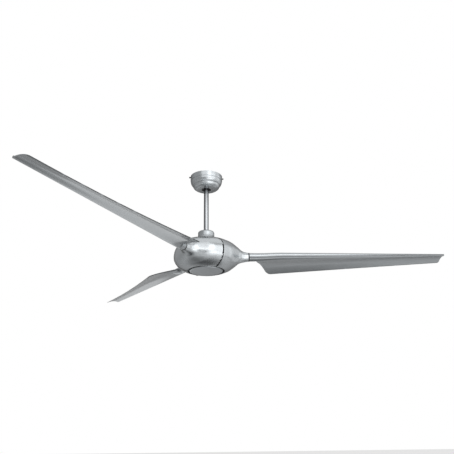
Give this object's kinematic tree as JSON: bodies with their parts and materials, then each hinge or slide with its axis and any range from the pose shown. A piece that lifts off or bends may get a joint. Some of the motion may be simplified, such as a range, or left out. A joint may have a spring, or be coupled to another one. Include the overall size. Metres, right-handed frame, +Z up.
{
  "type": "ceiling fan",
  "caption": "Ceiling fan with long twisted blades on a rounded lobed rotor housing, hung on a straight downrod from a stepped canopy with a ball joint.",
  "frame": {"origin": "centre of the ceiling bracket's mounting face, in the plane of the ceiling", "axes": "+Z up into the ceiling along the axis of rotation, +X along one blade, the fan hanging down along -Z"},
  "size_m": [1.6551, 1.8827, 0.4583],
  "materials": {
    "bracket_steel": "zinc plated sheet",
    "canopy_metal": "satin silver",
    "screw_black": "black, half matte",
    "terminal_plastic": "moulded, off white",
    "seat_nylon": "moulded nylon",
    "ball_plastic": "moulded, smooth",
    "pin_steel": "plain bright",
    "rod_metal": "satin silver",
    "coupling_steel": "machined",
    "screw_dark": "dark oxide",
    "cover_metal": "satin silver",
    "shaft_steel": "ground",
    "bearing_steel": "polished",
    "stator_iron": "laminated sheet, dark",
    "winding_copper": "enamelled copper wire",
    "board_green": "glass fibre board with parts",
    "cap_metal": "satin silver",
    "rotor_steel": "dark, as rolled",
    "magnet_dark": "ferrite",
    "bell_alloy": "die cast",
    "arm_alloy": "die cast",
    "pod_metal": "die cast, satin silver paint",
    "neck_rubber": "black",
    "blade_silver": "satin silver paint"
  },
  "bodies": {
    "mount": {"ceiling_bracket": "bracket_steel", "canopy": "canopy_metal", "canopy_screw_1": "screw_black", "canopy_screw_2": "screw_black", "terminal_block": "terminal_plastic"},
    "seat": {"ball_seat": "seat_nylon"},
    "hanging": {"hanger_ball": "ball_plastic", "ball_pin": "pin_steel", "downrod": "rod_metal", "rod_coupling": "coupling_steel", "clevis_pin": "pin_steel", "cotter_pin": "pin_steel", "coupling_set_screw_1": "screw_dark", "coupling_set_screw_2": "screw_dark", "coupling_cover": "cover_metal", "motor_shaft": "shaft_steel", "stator_core": "stator_iron", "stator_windings": "winding_copper", "upper_bearing_inner_ring": "bearing_steel", "lower_bearing_inner_ring": "bearing_steel", "shaft_nut": "pin_steel", "bottom_plate": "bracket_steel", "control_board": "board_green", "bottom_cap": "cap_metal"},
    "rotor": {"rotor_ring": "rotor_steel", "rotor_magnet": "magnet_dark", "rotor_bell_top": "bell_alloy", "rotor_bell_bottom": "bell_alloy", "rotor_bolt_1": "pin_steel", "rotor_bolt_2": "pin_steel", "rotor_bolt_3": "pin_steel", "upper_bearing_outer_ring": "bearing_steel", "lower_bearing_outer_ring": "bearing_steel", "blade_arm_1": "arm_alloy", "blade_arm_2": "arm_alloy", "blade_arm_3": "arm_alloy", "housing_pod_1": "pod_metal", "housing_pod_2": "pod_metal", "housing_pod_3": "pod_metal", "pod_top_screw_1": "screw_dark", "pod_top_screw_2": "screw_dark", "pod_top_screw_3": "screw_dark", "pod_bottom_screw_1": "screw_dark", "pod_bottom_screw_2": "screw_dark", "pod_bottom_screw_3": "screw_dark", "neck_ring_1": "neck_rubber", "neck_ring_2": "neck_rubber", "neck_ring_3": "neck_rubber", "blade_1": "blade_silver", "blade_2": "blade_silver", "blade_3": "blade_silver", "blade_screw_inner_1": "pin_steel", "blade_screw_inner_2": "pin_steel", "blade_screw_inner_3": "pin_steel", "blade_screw_outer_1": "pin_steel", "blade_screw_outer_2": "pin_steel", "blade_screw_outer_3": "pin_steel"},
    "upper_balls": {"upper_bearing_balls": "bearing_steel"},
    "lower_balls": {"lower_bearing_balls": "bearing_steel"}
  },
  "joints": [
    {"name": "ball_tilt_x", "type": "hinge", "parent": "mount", "child": "seat", "pos_m": [0, 0, -0.03], "axis": [1, 0, 0], "range_deg": [-10, 10]},
    {"name": "ball_tilt_y", "type": "hinge", "parent": "seat", "child": "hanging", "pos_m": [0, 0, -0.03], "axis": [0, 1, 0], "range_deg": [-10, 10]},
    {"name": "rotor_spin", "type": "hinge", "parent": "hanging", "child": "rotor", "pos_m": [0, 0, -0.3915], "axis": [0, 0, 1], "continuous": true},
    {"name": "upper_balls_roll", "type": "hinge", "parent": "hanging", "child": "upper_balls", "pos_m": [0, 0, -0.347], "axis": [0, 0, 1], "continuous": true},
    {"name": "lower_balls_roll", "type": "hinge", "parent": "hanging", "child": "lower_balls", "pos_m": [0, 0, -0.436], "axis": [0, 0, 1], "continuous": true}
  ],
  "couplings": [
    {"joint": "upper_balls_roll", "follows": "rotor_spin", "ratio": 0.6084},
    {"joint": "lower_balls_roll", "follows": "rotor_spin", "ratio": 0.6084}
  ]
}
